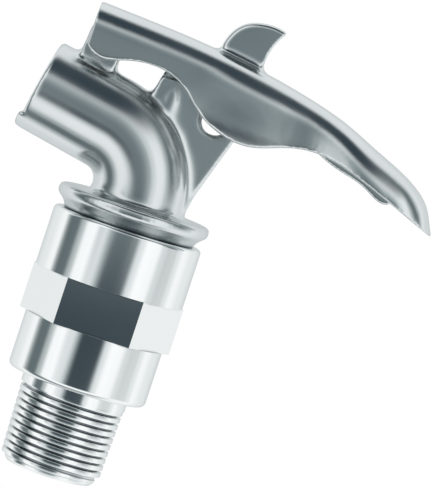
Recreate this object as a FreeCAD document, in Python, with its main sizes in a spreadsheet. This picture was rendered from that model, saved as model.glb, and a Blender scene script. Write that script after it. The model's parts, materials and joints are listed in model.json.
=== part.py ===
import FreeCAD, Part
import math
import os
import Sketcher
from FreeCAD import Placement, Rotation, Vector
from types import SimpleNamespace

# Self-closing drum tap with a push lever, screwed into the drum's bung.
# +X runs out of the drum along the inlet, +Z is up: lever above, spout below.
# The origin lies on the inlet axis, at the shoulder behind the drum thread.

doc = FreeCAD.newDocument("drum_tap")
sheet = doc.addObject("Spreadsheet::Sheet", "sizes")

# Driving sizes, in millimetres and degrees
sizes = {
    # tapered pipe nipple, as turned to the root of its thread
    "thread_length": 20.2,
    "thread_crest": 12.75,
    "thread_depth": 1.16,
    "thread_taper": 0.03125,
    "nipple_chamfer": 0.7,
    "collar_length": 2.65,
    "collar_radius": 13.55,
    "inlet_radius": 9.3,
    # inlet body: skirt, spanner hexagon and sleeve
    "skirt_inset": 1.35,
    "skirt_length": 14.55,
    "skirt_round": 1.3,
    "hexagon_inset": 2.25,
    "hexagon_length": 11.9,
    "sleeve_radius": 19.25,
    "sleeve_length": 15.5,
    "sleeve_round": 1.0,
    "sleeve_wall": 2.75,
    "chamber_floor": 4.0,
    "socket_depth": 13.45,
    "cut_spare": 3.0,
    # joint between the two castings
    "spigot_gap": 0.05,
    "gasket_thickness": 1.5,
    "gasket_seat": 2.2,
    "gasket_inset": 0.3,
    "gasket_gap": 0.1,
    # flange and valve port of the spout body
    "port_recess": 2.0,
    "port_thickness": 2.5,
    "seat_height": 1.0,
    "seat_width": 1.4,
    "neck_inset": 2.15,
    "neck_length": 1.2,
    "flange_stand": 0.4,
    "flange_height": 5.8,
    "lip_height": 2.4,
    "lip_round": 1.15,
    # elbow and spout
    "tube_radius": 12.0,
    "bore_radius": 9.3,
    "riser_length": 2.15,
    "bend_radius": 15.6,
    "bend_angle": 79.2,
    "spout_length": 19.9,
    "mouth_radius": 11.9,
    "mouth_round": 1.0,
    "drip_length": 0.9,
    "drip_width": 17.0,
    "drip_height": 4.6,
    "drip_face": 2.8,
    "drip_drop": 0.8,
    "drip_slant": 0.55,
    "drip_back": 2.0,
    # stem boss and the web behind it, with the hole through it
    "boss_rise": 34.15,
    "boss_foot_drop": 6.5,
    "boss_foot_radius": 4.5,
    "boss_waist_drop": 4.3,
    "boss_radius": 4.3,
    "boss_tip_radius": 3.6,
    "boss_round": 0.5,
    "web_nose_half": 2.6,
    "web_nose_reach": 6.2,
    "web_root_half": 4.3,
    "web_root_reach": 4.0,
    "web_rim_half": 2.4,
    "web_rim_reach": 20.5,
    "web_left_foot": 5.2,
    "web_left_waist": 4.35,
    "web_elbow_rise": 6.7,
    "web_elbow_stand": 1.3,
    "web_shoulder_rise": 22.85,
    "web_shoulder_up": 18.4,
    "web_peak_rise": 27.3,
    "web_peak_up": 19.25,
    "web_crown_rise": 30.65,
    "web_crown_up": 14.4,
    "web_setback": 1.0,
    "web_hole_rise": 25.9,
    "web_hole_up": 12.4,
    "web_hole_radius": 3.5,
    # fulcrum post on the back of the spout
    "pivot_rise": 37.85,
    "pivot_offset": 19.6,
    "post_radius": 4.6,
    "post_thickness": 9.5,
    "post_foot_left": 5.8,
    "post_foot_right": 4.3,
    "post_height": 11.6,
    # lever pin
    "pin_radius": 2.0,
    "pin_gap": 0.05,
    "pin_grip": 1.1,
    "pin_end_chamfer": 0.4,
    # lever shell, measured from its pivot
    "lever_wall": 2.0,
    "cheek_radius": 75.0,
    "lever_side_gap": 0.3,
    "lever_boss_radius": 3.9,
    "pad_rise": 2.4,
    "pad_length": 5.0,
    "pad_width": 7.0,
    "pad_gap": 0.25,
    "heel_along": -4.0,
    "heel_roof": 7.75,
    "heel_half": 9.3,
    "heel_shoulder": 6.6,
    "over_pad_along": 19.9,
    "over_pad_roof": 6.15,
    "over_pad_half": 9.3,
    "over_pad_shoulder": 6.6,
    "fin_foot_along": 39.6,
    "fin_foot_roof": 3.6,
    "fin_foot_half": 9.0,
    "fin_foot_shoulder": 6.6,
    "waist_along": 54.0,
    "waist_roof": 0.6,
    "waist_half": 8.6,
    "waist_shoulder": 6.6,
    "flare_along": 62.5,
    "flare_roof": -1.9,
    "flare_half": 10.4,
    "flare_shoulder": 7.4,
    "thumb_along": 72.5,
    "thumb_roof": -6.1,
    "thumb_half": 12.4,
    "thumb_shoulder": 8.4,
    "brow_along": 82.0,
    "brow_roof": -10.3,
    "brow_half": 11.8,
    "brow_shoulder": 8.0,
    "nose_along": 88.0,
    "nose_roof": -14.6,
    "nose_half": 9.2,
    "nose_shoulder": 6.6,
    "tip_along": 91.8,
    "tip_roof": -21.4,
    "tip_half": 4.6,
    "tip_shoulder": 3.6,
    "lever_steps": 14,
    "tip_steps": 4,
    # lower edge of the lever's cheeks, heel to tip
    "rim_heel_along": -4.6,
    "rim_heel_up": -1.0,
    "rim_chin_along": -2.8,
    "rim_chin_up": -4.5,
    "rim_pivot_along": 1.0,
    "rim_pivot_up": -5.55,
    "rim_post_along": 5.6,
    "rim_post_up": -4.4,
    "rim_bridge_along": 11.3,
    "rim_bridge_up": -3.25,
    "rim_boss_along": 20.3,
    "rim_boss_up": -4.95,
    "rim_web_along": 28.1,
    "rim_web_up": -11.25,
    "rim_cheek_along": 34.6,
    "rim_cheek_up": -14.3,
    "rim_belly_along": 41.6,
    "rim_belly_up": -15.05,
    "rim_waist_along": 51.8,
    "rim_waist_up": -12.05,
    "rim_flare_along": 57.6,
    "rim_flare_up": -11.25,
    "rim_thumb_along": 72.4,
    "rim_thumb_up": -14.55,
    "rim_brow_along": 85.2,
    "rim_brow_up": -19.55,
    "rim_tip_along": 92.4,
    "rim_tip_up": -22.5,
    # hooked fin on the lever's roof
    "fin_thickness": 3.4,
    "fin_round": 1.2,
    "fin_start_along": 27.9,
    "fin_back_along": 28.0,
    "fin_back_up": 8.35,
    "fin_brow_along": 31.0,
    "fin_brow_up": 13.15,
    "fin_crown_along": 36.5,
    "fin_crown_up": 15.25,
    "fin_nib_along": 41.7,
    "fin_nib_up": 14.85,
    "fin_hook_along": 42.0,
    "fin_hook_up": 14.25,
    "fin_throat_along": 40.4,
    "fin_throat_up": 11.45,
    "fin_neck_along": 39.25,
    "fin_neck_up": 7.65,
    # stiffening rib under the thumb
    "rib_thickness": 2.6,
    "rib_start_along": 58.5,
    "rib_start_up": -11.25,
    "rib_slope_along": 64.5,
    "rib_slope_up": -13.65,
    "rib_belly_along": 72.4,
    "rib_belly_up": -15.95,
    "rib_hook_along": 79.0,
    "rib_hook_up": -18.2,
    "rib_end_along": 80.4,
    "rib_end_up": -17.2,
    # valve stem
    "stem_radius": 2.25,
    "stem_gap": 0.05,
    "stem_dome": 4.0,
    "stem_flat": 0.4,
    "stem_collar_radius": 4.5,
    "stem_collar": 1.6,
    "stem_thread_radius": 2.0,
    "stem_thread_spare": 1.0,
    "stem_chamfer": 0.4,
    "groove_depth": 0.9,
    "groove_width": 1.1,
    "groove_setback": 5.9,
    "groove_spacing": 3.2,
    "ring_section": 0.43,
    "ring_gap": 0.01,
    # valve plate, seal, washer and nut
    "seal_overlap": 2.7,
    "seal_thickness": 3.0,
    "plate_clearance": 2.3,
    "plate_lip": 0.8,
    "plate_thickness": 1.5,
    "plate_rim": 1.6,
    "plate_spigot": 1.2,
    "bolt_gap": 0.05,
    "washer_radius": 4.4,
    "washer_thickness": 0.9,
    "nut_flats": 7.0,
    "nut_height": 3.2,
    # return spring
    "spring_inset": 1.3,
    "spring_wire": 0.7,
    "spring_turns": 5.5,
    "spring_gap": 0.05,
}

for row, (alias, number) in enumerate(sizes.items(), start=1):
    sheet.set(f"A{row}", alias.replace("_", " "))
    sheet.set(f"B{row}", str(number))
    sheet.setAlias(f"B{row}", alias)
doc.recompute()


# A length with the sheet's formula for it, so that a feature can be bound to it
class Size:
    def __init__(self, number, text):
        self.number = number
        self.text = text

    def __add__(self, other):
        other = as_size(other)
        return Size(self.number + other.number, f"({self.text} + {other.text})")

    def __sub__(self, other):
        other = as_size(other)
        return Size(self.number - other.number, f"({self.text} - {other.text})")

    def __mul__(self, other):
        other = as_size(other)
        return Size(self.number * other.number, f"({self.text} * {other.text})")

    def __truediv__(self, other):
        other = as_size(other)
        return Size(self.number / other.number, f"({self.text} / {other.text})")

    def __neg__(self):
        return Size(-self.number, f"(-1 * {self.text})")


def as_size(thing):
    return thing if isinstance(thing, Size) else Size(thing, str(thing))


def sine(angle):
    return Size(math.sin(math.radians(angle.number)), f"sin({angle.text} * 1 deg)")


def cosine(angle):
    return Size(math.cos(math.radians(angle.number)), f"cos({angle.text} * 1 deg)")


# How far a sphere's surface lies from its middle, at one distance from the axis
def sphere_height(radius, offset):
    number = math.sqrt(radius.number ** 2 - offset.number ** 2)
    return Size(number, f"sqrt({radius.text} * {radius.text} - {offset.text} * {offset.text})")


d = SimpleNamespace(**{alias: Size(number, f"sizes.{alias}") for alias, number in sizes.items()})
zero = Size(0.0, "0")
corner_per_flats = 1 / math.sqrt(3)

# Radii that follow the sleeve's, and the spanner flats with them
skirt_radius = d.sleeve_radius - d.skirt_inset
hexagon_flats = (d.sleeve_radius - d.hexagon_inset) * 2
flange_radius = d.sleeve_radius + d.flange_stand
neck_radius = d.sleeve_radius - d.neck_inset
socket_radius = d.sleeve_radius - d.sleeve_wall
chamber_radius = socket_radius - d.gasket_seat
gasket_inner = chamber_radius + d.gasket_inset
plate_radius = chamber_radius - d.plate_clearance
seal_radius = plate_radius - d.plate_lip
port_radius = seal_radius - d.seal_overlap
spring_radius = plate_radius - d.spring_inset

# Places along the inlet axis
thread_end = -(d.thread_length + d.collar_length)
hexagon_start = d.skirt_length
sleeve_start = hexagon_start + d.hexagon_length
sleeve_end = sleeve_start + d.sleeve_length
socket_floor = sleeve_end - d.socket_depth
spigot_end = socket_floor + d.gasket_thickness
port_face = spigot_end + d.port_recess
seat_face = port_face - d.seat_height
port_back = port_face + d.port_thickness
flange_top = sleeve_end + d.flange_height
bend_start = flange_top + d.riser_length
bend_end_x = bend_start + d.bend_radius * sine(d.bend_angle)
bend_end_z = d.bend_radius * cosine(d.bend_angle) - d.bend_radius
pivot_x = flange_top + d.pivot_rise
pad_face = pivot_x + d.pad_rise
stem_top = pad_face - d.pad_gap
boss_top = flange_top + d.boss_rise
boss_foot = boss_top - d.boss_foot_drop
web_hole_x = flange_top + d.web_hole_rise


def plane_of(body, role):
    return next(item for item in body.Origin.OriginFeatures if item.Role == role)


# A sketch on one of its body's own planes, shifted or turned within that plane
def new_sketch(body, role, name, shift=(zero, zero, zero), turn=None):
    sketch = body.newObject("Sketcher::SketchObject", name)
    sketch.AttachmentSupport = [(plane_of(body, role), "")]
    sketch.MapMode = "FlatFace"
    angle = turn.number if turn else 0.0
    base = Vector(*(part.number for part in shift))
    sketch.AttachmentOffset = Placement(base, Rotation(Vector(0, 0, 1), angle))
    for axis, part in zip("xyz", shift):
        if part is not zero:
            sketch.setExpression(f"AttachmentOffset.Base.{axis}", part.text)
    if turn:
        sketch.setExpression("AttachmentOffset.Rotation.Angle", turn.text)
    return sketch


def bind(sketch, kind, *arguments, size):
    number = sketch.addConstraint(Sketcher.Constraint(kind, *arguments, size.number))
    sketch.setExpression(f"Constraints[{number}]", size.text)


def pin_down(sketch, edge, end, place):
    across, up = place
    if across is zero:
        sketch.addConstraint(Sketcher.Constraint("PointOnObject", edge, end, -2))
    else:
        bind(sketch, "DistanceX", -1, 1, edge, end, size=across)
    if up is zero:
        sketch.addConstraint(Sketcher.Constraint("PointOnObject", edge, end, -1))
    else:
        bind(sketch, "DistanceY", -1, 1, edge, end, size=up)


# The middle of an arc from start to finish, whose centre is on the left for a positive radius
def arc_middle(start, finish, radius):
    chord = finish - start
    half = chord.Length / 2
    rise = abs(radius) - math.sqrt(max(radius * radius - half * half, 0.0))
    right = Vector(chord.y, -chord.x, 0).normalize()
    return start + chord * 0.5 + right * math.copysign(rise, radius)


# A closed outline: each corner is (across, up), or (across, up, radius) where an arc leaves it
def draw(sketch, corners):
    spots = [Vector(corner[0].number, corner[1].number, 0) for corner in corners]
    count = len(corners)
    starts = []
    ends = []
    for index, corner in enumerate(corners):
        start, finish = spots[index], spots[(index + 1) % count]
        if len(corner) == 2:
            sketch.addGeometry(Part.LineSegment(start, finish), False)
            starts.append(1)
            ends.append(2)
            continue
        middle = arc_middle(start, finish, corner[2].number)
        forward = corner[2].number > 0
        ways = (start, middle, finish) if forward else (finish, middle, start)
        sketch.addGeometry(Part.Arc(*ways), False)
        starts.append(1 if forward else 2)
        ends.append(2 if forward else 1)
    for index in range(count):
        after = (index + 1) % count
        sketch.addConstraint(Sketcher.Constraint("Coincident", index, ends[index], after, starts[after]))
    for index, corner in enumerate(corners):
        pin_down(sketch, index, starts[index], corner[:2])
        if len(corner) == 3:
            whole = corner[2] if corner[2].number > 0 else -corner[2]
            bind(sketch, "Radius", index, size=whole)


def draw_circle(sketch, radius, across=zero, up=zero):
    spot = Vector(across.number, up.number, 0)
    edge = sketch.addGeometry(Part.Circle(spot, Vector(0, 0, 1), radius.number), False)
    bind(sketch, "Radius", edge, size=radius)
    pin_down(sketch, edge, 3, (across, up))


# Adds or cuts the solid that a sketch makes when it turns about an axis of its own
def turned(body, sketch, name, cut=False, axis="H_Axis", angle=None, backwards=False):
    feature = body.newObject("PartDesign::Groove" if cut else "PartDesign::Revolution", name)
    feature.Profile = sketch
    feature.ReferenceAxis = (sketch, [axis])
    feature.Angle = 360.0
    if angle:
        feature.setExpression("Angle", angle.text)
    feature.Reversed = backwards
    doc.recompute()
    return feature


def extruded(body, sketch, name, length, cut=False, both_sides=False, backwards=False):
    feature = body.newObject("PartDesign::Pocket" if cut else "PartDesign::Pad", name)
    feature.Profile = sketch
    feature.Type = 0
    feature.setExpression("Length", length.text)
    feature.Midplane = both_sides
    feature.Reversed = backwards
    doc.recompute()
    return feature


def rounded(body, feature, name, edges, radius):
    fillet = body.newObject("PartDesign::Fillet", name)
    fillet.Base = (feature, edges)
    fillet.setExpression("Radius", radius.text)
    doc.recompute()
    return fillet


# Names of the edges that run round the inlet axis at one place and radius
def rings(feature, across, radius, slack=0.02):
    found = []
    for index, edge in enumerate(feature.Shape.Edges, start=1):
        if edge.Curve.TypeId != "Part::GeomCircle":
            continue
        centre = edge.Curve.Center
        if abs(centre.x - across.number) < slack and abs(edge.Curve.Radius - radius.number) < slack:
            found.append(f"Edge{index}")
    return found


def new_body(label):
    body = doc.addObject("PartDesign::Body", label)
    body.Label = label
    return body


# A ring or disc of rectangular section round the inlet axis
def new_ring(label, low, high, inner, outer):
    body = new_body(label)
    sketch = new_sketch(body, "XZ_Plane", f"{label}_section")
    draw(sketch, [(low, inner), (high, inner), (high, outer), (low, outer)])
    turned(body, sketch, f"{label}_ring")
    return body


def hexagon_corners(flats):
    half = flats / 2
    side = half * corner_per_flats
    return [(half, -side), (half, side), (zero, side * 2), (-half, side), (-half, -side), (zero, -side * 2)]


# Inlet casting: tapered nipple, skirt, spanner hexagon and sleeve, with the valve chamber inside
def make_inlet_body():
    body = new_body("inlet_body")
    root_end = d.thread_crest - d.thread_depth
    root_start = root_end + d.thread_length * d.thread_taper
    corner_radius = hexagon_flats * corner_per_flats
    nipple_end = -d.collar_length
    section = new_sketch(body, "XZ_Plane", "inlet_section")
    draw(section, [
        (thread_end, d.inlet_radius),
        (thread_end, root_end - d.nipple_chamfer),
        (thread_end + d.nipple_chamfer, root_end),
        (nipple_end, root_start),
        (nipple_end, d.collar_radius),
        (zero, d.collar_radius),
        (zero, skirt_radius),
        (hexagon_start, skirt_radius),
        (hexagon_start, corner_radius),
        (sleeve_start, corner_radius),
        (sleeve_start, d.sleeve_radius),
        (sleeve_end, d.sleeve_radius),
        (sleeve_end, socket_radius),
        (socket_floor, socket_radius),
        (socket_floor, chamber_radius),
        (d.chamber_floor, chamber_radius),
        (d.chamber_floor, d.inlet_radius),
    ])
    blank = turned(body, section, "inlet_turned")
    flats = new_sketch(body, "YZ_Plane", "hexagon_outline", (zero, zero, sleeve_start))
    draw(flats, hexagon_corners(hexagon_flats))
    draw_circle(flats, corner_radius + d.cut_spare)
    milled = extruded(body, flats, "hexagon_flats_cut", d.hexagon_length, cut=True)
    foot = rings(milled, zero, skirt_radius)
    softened = rounded(body, milled, "skirt_rounding", foot, d.skirt_round)
    shoulder = rings(softened, sleeve_end, d.sleeve_radius)
    rounded(body, softened, "sleeve_rounding", shoulder, d.sleeve_round)
    return body


# Upper casting: spigot and flange, elbow, spout, stem boss with its web, and the fulcrum post
def make_spout_body():
    body = new_body("spout_body")
    spigot_radius = socket_radius - d.spigot_gap
    lip_start = flange_top - d.lip_height
    flange = new_sketch(body, "XZ_Plane", "flange_section")
    draw(flange, [
        (spigot_end, gasket_inner),
        (spigot_end, spigot_radius),
        (sleeve_end, spigot_radius),
        (sleeve_end, neck_radius),
        (sleeve_end + d.neck_length, neck_radius),
        (lip_start, flange_radius),
        (flange_top, flange_radius),
        (flange_top, zero),
        (port_face, zero),
        (port_face, port_radius),
        (seat_face, port_radius),
        (seat_face, port_radius + d.seat_width),
        (port_face, port_radius + d.seat_width),
        (port_face, gasket_inner),
    ])
    disc = turned(body, flange, "flange_turned")
    lip = rings(disc, lip_start, flange_radius) + rings(disc, flange_top, flange_radius)
    rounded(body, disc, "lip_rounding", lip, d.lip_round)
    make_web(body)

    riser = new_sketch(body, "YZ_Plane", "riser_circle", (zero, zero, bend_start))
    draw_circle(riser, d.tube_radius)
    extruded(body, riser, "riser", d.riser_length + d.lip_round, backwards=True)

    bend = new_sketch(body, "YZ_Plane", "bend_circle", (zero, zero, bend_start))
    draw_circle(bend, d.tube_radius)
    add_bend_axis(bend)
    turned(body, bend, "elbow", axis="Axis0", angle=d.bend_angle)

    spout_place = (bend_end_x, bend_end_z, zero)
    spout = new_sketch(body, "XZ_Plane", "spout_section", spout_place, -d.bend_angle)
    draw(spout, [
        (zero, zero),
        (zero, d.tube_radius),
        (d.spout_length - d.mouth_round, d.mouth_radius, -d.mouth_round),
        (d.spout_length, d.mouth_radius - d.mouth_round),
        (d.spout_length, zero),
    ])
    turned(body, spout, "spout")

    make_drip_lip(body, spout_place)
    make_boss(body)
    make_post(body)
    cut_passages(body, spout_place)
    return body


def add_bend_axis(sketch):
    reach = 5.0
    axis = sketch.addGeometry(Part.LineSegment(Vector(-reach, -d.bend_radius.number, 0),
                                               Vector(reach, -d.bend_radius.number, 0)), True)
    sketch.addConstraint(Sketcher.Constraint("Horizontal", axis))
    sketch.addConstraint(Sketcher.Constraint("DistanceX", -1, 1, axis, 2, reach))
    sketch.addConstraint(Sketcher.Constraint("DistanceX", axis, 1, -1, 1, reach))
    bind(sketch, "DistanceY", -1, 1, axis, 1, size=-d.bend_radius)


# Small drip lip where the mouth's rim runs on at its lowest, drum-side stretch
def make_drip_lip(body, spout_place):
    outline = new_sketch(body, "XZ_Plane", "drip_lip_outline", spout_place, -d.bend_angle)
    low = d.mouth_round - d.mouth_radius
    lip_end = d.spout_length + d.drip_length
    draw(outline, [
        (d.spout_length - d.drip_back, low - d.drip_drop),
        (lip_end - d.drip_slant, low - d.drip_drop),
        (lip_end, low),
        (lip_end, low + d.drip_face),
        (d.spout_length - d.drip_back, low + d.drip_height),
    ])
    extruded(body, outline, "drip_lip", d.drip_width, both_sides=True)
    rim = new_sketch(body, "XZ_Plane", "drip_lip_rim", spout_place, -d.bend_angle)
    draw(rim, [
        (d.spout_length - d.cut_spare, d.mouth_radius),
        (lip_end + d.cut_spare, d.mouth_radius),
        (lip_end + d.cut_spare, d.mouth_radius + d.cut_spare),
        (d.spout_length - d.cut_spare, d.mouth_radius + d.cut_spare),
    ])
    turned(body, rim, "drip_lip_trim", cut=True)


def make_boss(body):
    section = new_sketch(body, "XZ_Plane", "boss_section")
    draw(section, [
        (bend_start + d.bend_radius, zero),
        (bend_start + d.bend_radius, d.boss_foot_radius),
        (boss_foot, d.boss_foot_radius),
        (boss_top - d.boss_waist_drop, d.boss_radius),
        (boss_top - d.boss_round, d.boss_tip_radius, -d.boss_round),
        (boss_top, d.boss_tip_radius - d.boss_round),
        (boss_top, zero),
    ])
    turned(body, section, "stem_boss")


# The web that holds the stem's boss: thick at its rounded left edge and thinner towards the lever's thumb
def make_web(body):
    wedge = new_sketch(body, "YZ_Plane", "web_wedge", (zero, zero, flange_top))
    draw(wedge, [
        (d.web_nose_half, -d.web_nose_reach),
        (d.web_root_half, -d.web_root_reach),
        (d.web_rim_half, d.web_rim_reach),
        (-d.web_rim_half, d.web_rim_reach),
        (-d.web_root_half, -d.web_root_reach),
        (-d.web_nose_half, -d.web_nose_reach),
    ])
    web_top = boss_top - d.web_setback
    extruded(body, wedge, "web_blank", web_top - flange_top)
    outside = new_sketch(body, "XZ_Plane", "web_outside")
    draw(outside, [
        (flange_top, d.tube_radius),
        (flange_top + d.web_elbow_rise, d.tube_radius + d.web_elbow_stand),
        (flange_top + d.web_shoulder_rise, d.web_shoulder_up),
        (flange_top + d.web_peak_rise, d.web_peak_up),
        (flange_top + d.web_crown_rise, d.web_crown_up),
        (web_top, d.boss_tip_radius - d.boss_round),
        (web_top, -d.boss_tip_radius),
        (boss_top - d.boss_waist_drop, -d.web_left_waist),
        (boss_foot, -d.web_left_foot),
        (boss_foot, -(d.web_nose_reach + d.cut_spare)),
        (boss_top + d.cut_spare, -(d.web_nose_reach + d.cut_spare)),
        (boss_top + d.cut_spare, d.web_rim_reach + d.cut_spare),
        (flange_top, d.web_rim_reach + d.cut_spare),
    ])
    extruded(body, outside, "web_trimmed", (d.web_root_half + d.cut_spare) * 2, cut=True, both_sides=True)


def make_post(body):
    # the round head is centred on the pivot, and the left side leans with the spout's mouth
    outline = new_sketch(body, "XZ_Plane", "post_outline")
    draw(outline, [
        (pivot_x, -(d.pivot_offset + d.post_radius), d.post_radius),
        (pivot_x + d.post_radius, -d.pivot_offset, d.post_radius),
        (pivot_x, -(d.pivot_offset - d.post_radius)),
        (pivot_x - d.post_height, -(d.pivot_offset - d.post_foot_right)),
        (pivot_x - d.post_height, -(d.pivot_offset + d.post_foot_left)),
    ])
    extruded(body, outline, "fulcrum_post", d.post_thickness, both_sides=True)


def cut_passages(body, spout_place):
    port = new_sketch(body, "YZ_Plane", "port_circle", (zero, zero, port_face))
    draw_circle(port, port_radius)
    extruded(body, port, "port", d.port_thickness, cut=True, backwards=True)
    throat = new_sketch(body, "YZ_Plane", "throat_circle", (zero, zero, port_back))
    draw_circle(throat, d.bore_radius)
    extruded(body, throat, "throat", bend_start - port_back, cut=True, backwards=True)
    bend = new_sketch(body, "YZ_Plane", "bend_bore", (zero, zero, bend_start))
    draw_circle(bend, d.bore_radius)
    add_bend_axis(bend)
    turned(body, bend, "elbow_bore", cut=True, axis="Axis0", angle=d.bend_angle)
    outlet = new_sketch(body, "XZ_Plane", "outlet_section", spout_place, -d.bend_angle)
    draw(outlet, [
        (zero, zero),
        (zero, d.bore_radius),
        (d.spout_length + d.drip_length, d.bore_radius),
        (d.spout_length + d.drip_length, zero),
    ])
    turned(body, outlet, "outlet_bore", cut=True)
    stem = new_sketch(body, "YZ_Plane", "stem_circle", (zero, zero, bend_start))
    draw_circle(stem, d.stem_radius + d.stem_gap)
    extruded(body, stem, "stem_bore", boss_top - bend_start, cut=True, backwards=True)
    holes = new_sketch(body, "XZ_Plane", "cross_holes")
    draw_circle(holes, d.web_hole_radius, web_hole_x, d.web_hole_up)
    draw_circle(holes, d.pin_radius + d.pin_gap, pivot_x, -d.pivot_offset)
    extruded(body, holes, "cross_hole_cut", d.post_thickness * 2, cut=True, both_sides=True)


# Lever casting, in its own frame: the pivot is at the origin and the thumb end lies along +Z
def arch(along, roof, half, shoulder, foot):
    round_start = roof - shoulder
    crown = half - shoulder
    bend = shoulder / math.sqrt(2)
    # below its shoulder each cheek curves gently in
    drop = round_start - foot
    radius = sizes["cheek_radius"]
    low = half - radius + math.sqrt(radius ** 2 - drop ** 2)
    middle = half - radius + math.sqrt(radius ** 2 - drop ** 2 / 4)
    corners = [
        Vector(foot, -low, along),
        Vector(round_start, -half, along),
        Vector(roof, -crown, along),
        Vector(roof, crown, along),
        Vector(round_start, half, along),
        Vector(foot, low, along),
    ]
    low_cheek = Vector(round_start - drop / 2, -middle, along)
    high_cheek = Vector(round_start - drop / 2, middle, along)
    low_middle = Vector(round_start + bend, -crown - bend, along)
    high_middle = Vector(round_start + bend, crown + bend, along)
    return Part.Wire([
        Part.Arc(corners[0], low_cheek, corners[1]).toShape(),
        Part.Arc(corners[1], low_middle, corners[2]).toShape(),
        Part.LineSegment(corners[2], corners[3]).toShape(),
        Part.Arc(corners[3], high_middle, corners[4]).toShape(),
        Part.Arc(corners[4], high_cheek, corners[5]).toShape(),
        Part.LineSegment(corners[5], corners[0]).toShape(),
    ])


# The lever's named sections, each as [along, roof, half width, shoulder radius]
def named_sections():
    names = ["heel", "over_pad", "fin_foot", "waist", "flare", "thumb", "brow", "nose", "tip"]
    return [[sizes[f"{name}_{part}"] for part in ("along", "roof", "half", "shoulder")] for name in names]


# Slope at each known place that lets a curve pass through them all with no swing between
def calm_slopes(places, values):
    rises = []
    for index in range(len(places) - 1):
        rises.append((values[index + 1] - values[index]) / (places[index + 1] - places[index]))
    slopes = [rises[0]]
    for before, after in zip(rises, rises[1:]):
        slopes.append(2 * before * after / (before + after) if before * after > 0 else 0.0)
    return slopes + [rises[-1]]


def eased(places, values, place):
    slopes = calm_slopes(places, values)
    index = max(i for i in range(len(places) - 1) if places[i] <= place + 1e-9)
    width = places[index + 1] - places[index]
    part = (place - places[index]) / width
    rest = 1 - part
    return (values[index] * (1 + 2 * part) * rest ** 2 + values[index + 1] * (3 - 2 * part) * part ** 2
            + slopes[index] * width * part * rest ** 2 - slopes[index + 1] * width * rest * part ** 2)


# Sections at even steps along the lever, and closer together round its tip
def even_sections(known):
    places = [section[0] for section in known]
    columns = list(zip(*known))[1:]
    tip_start = places[-3]
    steps = sizes["lever_steps"]
    tip_steps = sizes["tip_steps"]
    along = [places[0] + (tip_start - places[0]) * step / steps for step in range(steps)]
    along += [tip_start + (places[-1] - tip_start) * step / tip_steps for step in range(tip_steps + 1)]
    return [[place] + [eased(places, column, place) for column in columns] for place in along]


def prism(outline, thickness, middle=0.0):
    face = Part.Face(outline)
    face.translate(Vector(0, middle - thickness / 2, 0))
    return face.extrude(Vector(0, thickness, 0))


def spline(points):
    curve = Part.BSplineCurve()
    curve.interpolate([Vector(up, 0, along) for along, up in points])
    return curve.toShape()


def line(first, second):
    return Part.LineSegment(Vector(first[1], 0, first[0]), Vector(second[1], 0, second[0])).toShape()


# Named points of an outline, as (along the lever, height over the pivot)
def spots(outline, names):
    return [(sizes[f"{outline}_{name}_along"], sizes[f"{outline}_{name}_up"]) for name in names]


def make_lever():
    wall = sizes["lever_wall"]
    spare = sizes["cut_spare"]
    foot = sizes["rim_tip_up"] - spare
    known = named_sections()
    outer = [arch(*place, foot) for place in even_sections(known)]
    shell = Part.makeLoft(outer, True, False, False, 3)
    inner = [[along, roof - wall, half - wall, shoulder - wall] for along, roof, half, shoulder in known]
    inner[0][0] -= wall
    inner[-2][0] -= wall
    inner[-1][0] -= wall
    core = [arch(*place, foot - wall) for place in even_sections(inner)]
    hollow = Part.makeLoft(core, True, False, False, 3)
    edge = spots("rim", ["heel", "chin", "pivot", "post", "bridge", "boss", "web", "cheek", "belly", "waist",
                         "flare", "thumb", "brow", "tip"])
    high = sizes["heel_roof"] + spare
    above = [edge[-1], (edge[-1][0], high), (edge[0][0], high), edge[0]]
    trim = Part.Wire([spline(edge)] + [line(above[i], above[i + 1]) for i in range(3)])
    body = shell.cut(hollow).common(prism(trim, 2 * (sizes["thumb_half"] + spare)))
    pieces = [make_fin(), make_rib(hollow), make_pad(hollow)] + make_lever_bosses(hollow)
    body = body.fuse(pieces).removeSplitter()
    return body.cut(make_pin_hole())


def make_fin():
    root = sizes["fin_foot_roof"] - sizes["lever_wall"] / 2
    start = (sizes["fin_start_along"], root)
    foot = (sizes["fin_foot_along"], root)
    back = [start] + spots("fin", ["back", "brow", "crown", "nib"])
    front = spots("fin", ["hook", "throat", "neck"]) + [foot]
    sides = [spline(back), line(back[-1], front[0]), spline(front), line(foot, start)]
    fin = prism(Part.Wire(sides), sizes["fin_thickness"])
    # the edges of its back are rounded over on both faces
    rims = []
    for edge in fin.Edges:
        middle = edge.valueAt((edge.FirstParameter + edge.LastParameter) / 2)
        on_face = abs(abs(middle.y) - sizes["fin_thickness"] / 2) < 0.01
        if on_face and middle.x > foot[1] and middle.z < sizes["fin_crown_along"]:
            rims.append(edge)
    return fin.makeFillet(sizes["fin_round"], rims)


def make_rib(hollow):
    edge = spots("rib", ["start", "slope", "belly", "hook", "end"])
    high = sizes["waist_roof"]
    above = [edge[-1], (edge[-1][0], high), (edge[0][0], high), edge[0]]
    outline = Part.Wire([spline(edge)] + [line(above[i], above[i + 1]) for i in range(3)])
    return prism(outline, sizes["rib_thickness"]).common(hollow)


def make_pad(hollow):
    middle = sizes["pivot_offset"]
    half = sizes["pad_length"] / 2
    low = sizes["pad_rise"]
    high = sizes["heel_roof"]
    corners = [(middle - half, low), (middle + half, low), (middle + half, high), (middle - half, high)]
    outline = Part.Wire([line(corners[i], corners[(i + 1) % 4]) for i in range(4)])
    return prism(outline, sizes["pad_width"]).common(hollow)


def make_lever_bosses(hollow):
    inside = sizes["post_thickness"] / 2 + sizes["lever_side_gap"]
    reach = sizes["heel_half"] - inside - sizes["lever_wall"] / 2
    bosses = []
    for side in (1, -1):
        base = Vector(0, side * inside, 0)
        bosses.append(Part.makeCylinder(sizes["lever_boss_radius"], reach, base, Vector(0, side, 0)))
    return bosses


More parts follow.
